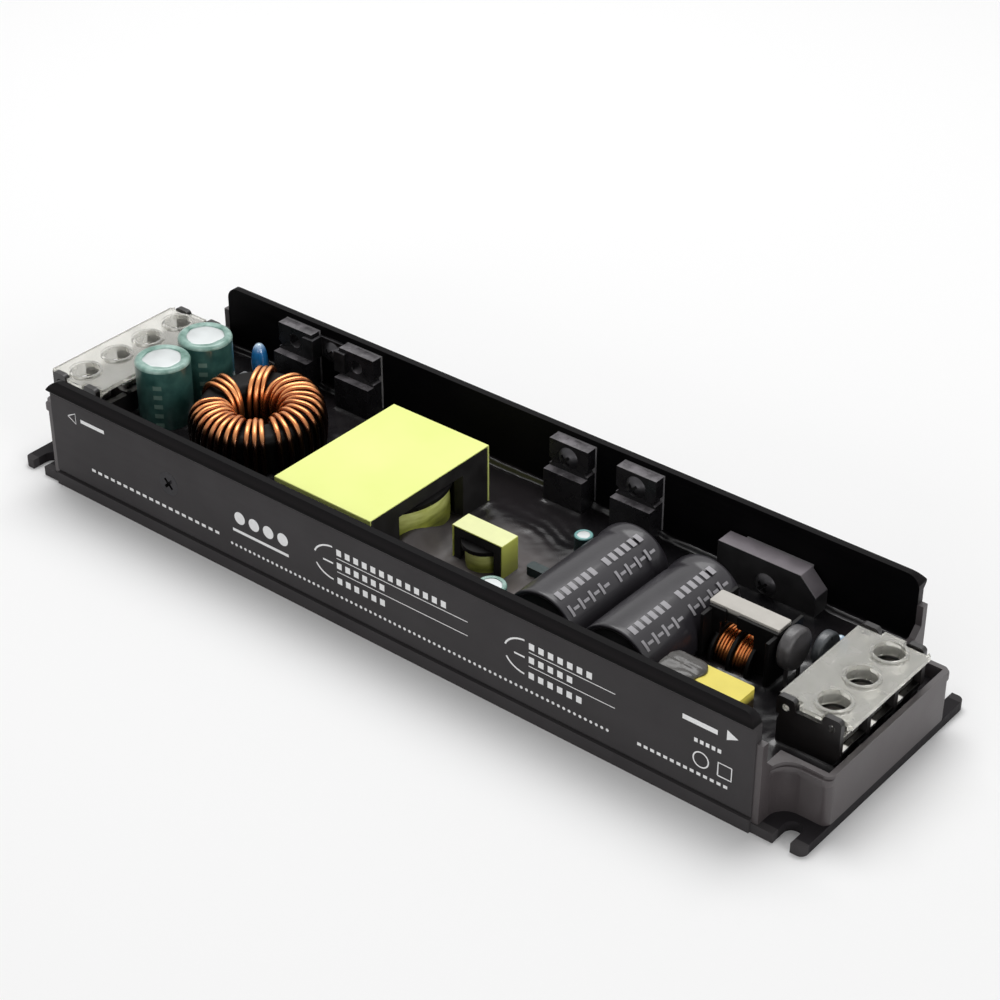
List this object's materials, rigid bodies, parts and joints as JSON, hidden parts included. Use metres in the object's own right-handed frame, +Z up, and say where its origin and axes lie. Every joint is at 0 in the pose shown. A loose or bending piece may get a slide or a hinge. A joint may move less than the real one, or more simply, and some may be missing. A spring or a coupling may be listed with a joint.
{
  "type": "led driver",
  "caption": "Slim fan-less LED driver without its lid: black aluminium channel, moulded end trays, barrier terminals under clear flip covers, and a potted board with wound and power parts.",
  "frame": {"origin": "centre of the base plate's underside", "axes": "+X along the channel towards the mains input, +Y towards the wall that carries the power devices, +Z up, away from the mounting face"},
  "size_m": [0.2092, 0.0594, 0.0266],
  "materials": {
    "case_channel": "satin black anodised or painted aluminium extrusion",
    "end_cap": "satin black moulding",
    "insulating_sheet": "thin film",
    "circuit_board": "solder-masked laminate",
    "potting_compound": "cured glossy silicone compound",
    "terminal_block": "black moulding",
    "terminal_cover": "clear moulded plastic",
    "terminal_hardware": "nickel-plated steel",
    "output_capacitor": "green sleeve over an aluminium can",
    "small_capacitor": "green sleeve over an aluminium can",
    "bulk_capacitor": "dark grey sleeve over an aluminium can",
    "choke_core": "coated powder core",
    "copper": "enamelled copper wire",
    "ferrite": "sintered ferrite",
    "bobbin": "black moulding",
    "tape": "yellow polyester tape",
    "taped_winding": "winding under yellow polyester tape",
    "pale_ferrite": "coated ferrite",
    "film_capacitor": "yellow plastic box",
    "silicone": "cured silicone",
    "black_epoxy": "moulded epoxy",
    "teal_epoxy": "dipped epoxy",
    "blue_epoxy": "dipped epoxy",
    "grey_epoxy": "moulded plastic",
    "spring_steel": "blackened spring steel",
    "thermal_pad": "silicone pad",
    "screw": "black-finished steel",
    "nut": "zinc-plated steel"
  },
  "bodies": {
    "driver": {"case_channel": "case_channel", "input_end_cap": "end_cap", "output_end_cap": "end_cap", "insulating_sheet": "insulating_sheet", "circuit_board": "circuit_board", "potting_compound": "potting_compound", "input_terminal_block": "terminal_block", "input_terminal_screws": "terminal_hardware", "input_terminal_clamps": "terminal_hardware", "input_terminal_plates": "terminal_hardware", "output_terminal_block": "terminal_block", "output_terminal_screws": "terminal_hardware", "output_terminal_clamps": "terminal_hardware", "output_terminal_plates": "terminal_hardware", "output_capacitor_1": "output_capacitor", "output_capacitor_2": "output_capacitor", "output_choke_core": "choke_core", "output_choke_winding": "copper", "transformer_core": "ferrite", "transformer_bobbin": "bobbin", "transformer_winding": "taped_winding", "transformer_tape": "tape", "aux_transformer_core": "ferrite", "aux_transformer_bobbin": "bobbin", "aux_transformer_winding": "taped_winding", "aux_transformer_tape": "tape", "bulk_capacitor_1": "bulk_capacitor", "bulk_capacitor_2": "bulk_capacitor", "aux_capacitor": "small_capacitor", "signal_capacitor": "small_capacitor", "snubber_capacitor": "teal_epoxy", "line_choke_core": "pale_ferrite", "line_choke_bobbin": "bobbin", "line_choke_windings": "copper", "x_capacitor": "film_capacitor", "glue_bead": "silicone", "thermistor": "black_epoxy", "varistor": "teal_epoxy", "input_blue_capacitor": "blue_epoxy", "output_blue_capacitor": "blue_epoxy", "film_block": "grey_epoxy", "output_rectifier_1": "black_epoxy", "output_rectifier_2": "black_epoxy", "rectifier_clip": "spring_steel", "switching_transistor_1": "black_epoxy", "switching_transistor_2": "black_epoxy", "bridge_rectifier": "black_epoxy", "front_transistor": "black_epoxy", "device_pads": "thermal_pad", "wall_screws": "screw", "front_nut": "nut"},
    "input_cover": {"input_terminal_cover": "terminal_cover"},
    "output_cover": {"output_terminal_cover": "terminal_cover"}
  },
  "joints": [
    {"name": "input_cover_hinge", "type": "hinge", "parent": "driver", "child": "input_cover", "pos_m": [0.0903, 0, 0.0192], "axis": [0, -1, 0], "range_deg": [0, 95]},
    {"name": "output_cover_hinge", "type": "hinge", "parent": "driver", "child": "output_cover", "pos_m": [-0.0903, 0, 0.0192], "axis": [0, 1, 0], "range_deg": [0, 95]}
  ]
}
